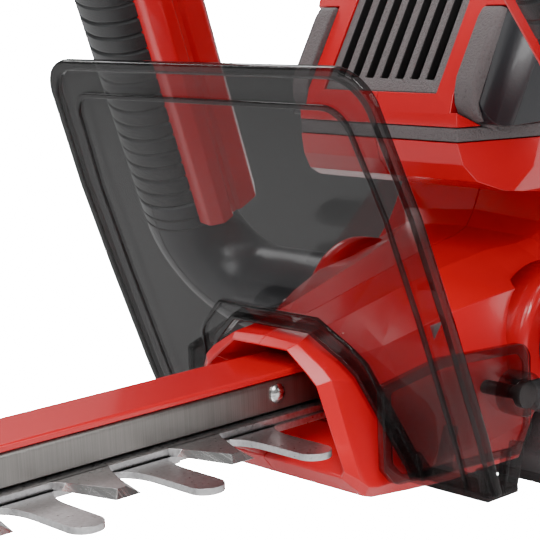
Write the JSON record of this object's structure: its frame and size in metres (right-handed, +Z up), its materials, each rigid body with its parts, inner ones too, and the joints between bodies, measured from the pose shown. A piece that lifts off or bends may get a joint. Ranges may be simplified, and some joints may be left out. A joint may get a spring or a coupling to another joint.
{
  "type": "hedge trimmer",
  "caption": "Cordless hedge trimmer with a double-sided reciprocating blade, clear hand guard, hoop front handle and rear trigger handle.",
  "frame": {"origin": "on the surface the trimmer rests on, under the axis of the drive gear", "axes": "-X points along the blades away from the user, +Z up, -Y is the user's left"},
  "size_m": [1.1441, 0.2752, 0.2575],
  "materials": {
    "red_plastic": "glossy moulded plastic",
    "dark_plastic": "fine-grained moulded plastic",
    "grip_rubber": "matt soft rubber",
    "seal_rubber": "matt",
    "corner_plastic": "satin",
    "smoke_clear": "clear smoke-tinted plastic",
    "blade_steel": "ground",
    "bar_steel": "brushed",
    "screw_steel": "plated",
    "spacer_steel": "turned",
    "gear_steel": "hardened, oiled",
    "shaft_steel": "ground",
    "gearbox_metal": "die-cast",
    "motor_metal": "black painted steel",
    "copper_windings": "enamelled copper wire",
    "fan_plastic": "matt",
    "spring_wire": "bright wire",
    "switch_plastic": "matt",
    "board_green": "lacquered",
    "lens_clear": "clear",
    "cell_wrap": "shrink wrap"
  },
  "bodies": {
    "body": {"lower_housing_left": "red_plastic", "lower_housing_right": "red_plastic", "base_cover": "dark_plastic", "nose_seal": "seal_rubber", "hand_guard": "smoke_clear", "guard_screws": "screw_steel", "support_bar": "bar_steel", "bar_cover": "red_plastic", "bar_screws": "screw_steel", "blade_bolts": "screw_steel", "blade_washers": "screw_steel", "blade_spacers": "spacer_steel", "tip_guard": "dark_plastic", "tip_screw": "screw_steel", "gearbox_base": "gearbox_metal", "gearbox_cover": "gearbox_metal", "gearbox_screws": "screw_steel", "gear_bearings": "shaft_steel", "motor_shell": "motor_metal", "motor_stator": "copper_windings", "motor_bearings": "shaft_steel", "upper_housing_left": "red_plastic", "upper_housing_right": "red_plastic", "vent_grille": "dark_plastic", "chin_trim": "dark_plastic", "corner_bumper_left": "corner_plastic", "corner_bumper_right": "corner_plastic", "handle_core": "dark_plastic", "handle_grip": "grip_rubber", "handle_screws": "screw_steel", "front_switch": "switch_plastic", "rear_handle_left": "red_plastic", "rear_handle_right": "red_plastic", "rear_grip": "grip_rubber", "trigger_pin": "screw_steel", "trigger_switch": "switch_plastic", "control_board": "board_green", "status_lens": "lens_clear", "terminal_block": "dark_plastic", "housing_screws": "screw_steel"},
    "upper_blade": {"upper_blade": "blade_steel"},
    "lower_blade": {"lower_blade": "blade_steel"},
    "drive": {"drive_gear": "gear_steel", "gear_shaft": "shaft_steel", "blade_cams": "gear_steel"},
    "rotor": {"motor_rotor": "shaft_steel", "motor_pinion": "gear_steel", "cooling_fan": "fan_plastic"},
    "switch_bar": {"front_switch_bar": "red_plastic", "front_switch_springs": "spring_wire"},
    "trigger": {"trigger": "red_plastic", "trigger_spring": "spring_wire"},
    "lock": {"lock_button": "dark_plastic", "lock_spring": "spring_wire"},
    "battery": {"battery_case": "dark_plastic", "battery_cells": "cell_wrap"},
    "latch_left": {"battery_latch_left": "red_plastic", "latch_spring_left": "spring_wire"},
    "latch_right": {"battery_latch_right": "red_plastic", "latch_spring_right": "spring_wire"}
  },
  "joints": [
    {"name": "upper_blade_slide", "type": "slide", "parent": "body", "child": "upper_blade", "axis": [1, 0, 0], "range_m": [-0.01, 0.01]},
    {"name": "lower_blade_slide", "type": "slide", "parent": "body", "child": "lower_blade", "axis": [1, 0, 0], "range_m": [-0.01, 0.01]},
    {"name": "drive_spin", "type": "hinge", "parent": "body", "child": "drive", "pos_m": [0, 0, 0.052], "axis": [0, 0, 1], "continuous": true},
    {"name": "rotor_spin", "type": "hinge", "parent": "body", "child": "rotor", "pos_m": [0.0384, 0, 0.12], "axis": [0, 0, 1], "continuous": true},
    {"name": "switch_bar_press", "type": "slide", "parent": "body", "child": "switch_bar", "axis": [-0.454, 0, 0.891], "range_m": [0, 0.004], "stiffness_N_per_m": 900, "springref_m": -0.006, "deforming": ["front_switch_springs"]},
    {"name": "trigger_press", "type": "hinge", "parent": "body", "child": "trigger", "pos_m": [0.195, 0, 0.144], "axis": [0, 1, 0], "range_deg": [0, 12], "stiffness_Nm_per_rad": 0.9, "springref_deg": -14.32, "deforming": ["trigger_spring"]},
    {"name": "lock_press", "type": "slide", "parent": "body", "child": "lock", "axis": [0, 0, -1], "range_m": [0, 0.003], "stiffness_N_per_m": 300, "springref_m": -0.003, "deforming": ["lock_spring"]},
    {"name": "battery_slide", "type": "slide", "parent": "body", "child": "battery", "axis": [1, 0, 0], "range_m": [0, 0.1]},
    {"name": "latch_left_press", "type": "slide", "parent": "battery", "child": "latch_left", "axis": [0, 1, 0], "range_m": [0, 0.004], "stiffness_N_per_m": 300, "springref_m": -0.003, "deforming": ["latch_spring_left"]},
    {"name": "latch_right_press", "type": "slide", "parent": "battery", "child": "latch_right", "axis": [0, -1, 0], "range_m": [0, 0.004], "stiffness_N_per_m": 300, "springref_m": -0.003, "deforming": ["latch_spring_right"]}
  ],
  "couplings": [
    {"joint": "lower_blade_slide", "follows": "upper_blade_slide", "ratio": -1},
    {"joint": "rotor_spin", "follows": "drive_spin", "ratio": -3}
  ]
}
